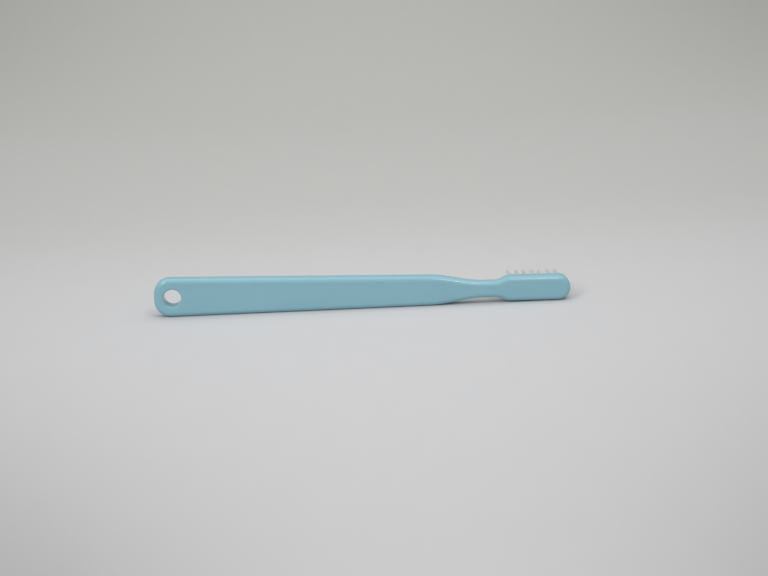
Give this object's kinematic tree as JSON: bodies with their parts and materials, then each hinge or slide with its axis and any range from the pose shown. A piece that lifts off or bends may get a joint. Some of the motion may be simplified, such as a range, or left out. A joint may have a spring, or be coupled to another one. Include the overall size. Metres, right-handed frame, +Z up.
{
  "type": "manual toothbrush",
  "caption": "Slim one-piece toothbrush with a tapering flat handle, hang hole, narrow neck, round-toed head and upright nylon tufts.",
  "frame": {"origin": "centre of the brush's length and depth, on the surface that its long lower edge stands on", "axes": "+X from the tail with the hang hole to the toe of the head, +Y the way the bristles point, away from the flat back, +Z up, across the width, with the brush on its edge as in the picture"},
  "size_m": [0.165, 0.0154, 0.0156],
  "materials": {
    "handle_plastic": "smooth glossy moulded plastic, light greyish blue, opaque",
    "bristle_nylon": "round nylon filament, off-white and slightly translucent",
    "anchor_metal": "flat drawn wire, cut to length, out of sight in the head"
  },
  "bodies": {
    "root": {"handle": "handle_plastic", "tuft_row1_1": "bristle_nylon", "tuft_row1_2": "bristle_nylon", "tuft_row1_3": "bristle_nylon", "tuft_row1_4": "bristle_nylon", "tuft_row1_5": "bristle_nylon", "tuft_row1_6": "bristle_nylon", "tuft_row1_7": "bristle_nylon", "tuft_row2_1": "bristle_nylon", "tuft_row2_2": "bristle_nylon", "tuft_row2_3": "bristle_nylon", "tuft_row2_4": "bristle_nylon", "tuft_row2_5": "bristle_nylon", "tuft_row2_6": "bristle_nylon", "tuft_row2_7": "bristle_nylon", "tuft_row2_8": "bristle_nylon", "tuft_row3_1": "bristle_nylon", "tuft_row3_2": "bristle_nylon", "tuft_row3_3": "bristle_nylon", "tuft_row3_4": "bristle_nylon", "tuft_row3_5": "bristle_nylon", "tuft_row3_6": "bristle_nylon", "tuft_row3_7": "bristle_nylon", "tuft_row3_8": "bristle_nylon", "tuft_row4_1": "bristle_nylon", "tuft_row4_2": "bristle_nylon", "tuft_row4_3": "bristle_nylon", "tuft_row4_4": "bristle_nylon", "tuft_row4_5": "bristle_nylon", "tuft_row4_6": "bristle_nylon", "tuft_row4_7": "bristle_nylon", "anchors_row1": "anchor_metal", "anchors_row2": "anchor_metal", "anchors_row3": "anchor_metal", "anchors_row4": "anchor_metal"}
  },
  "joints": []
}
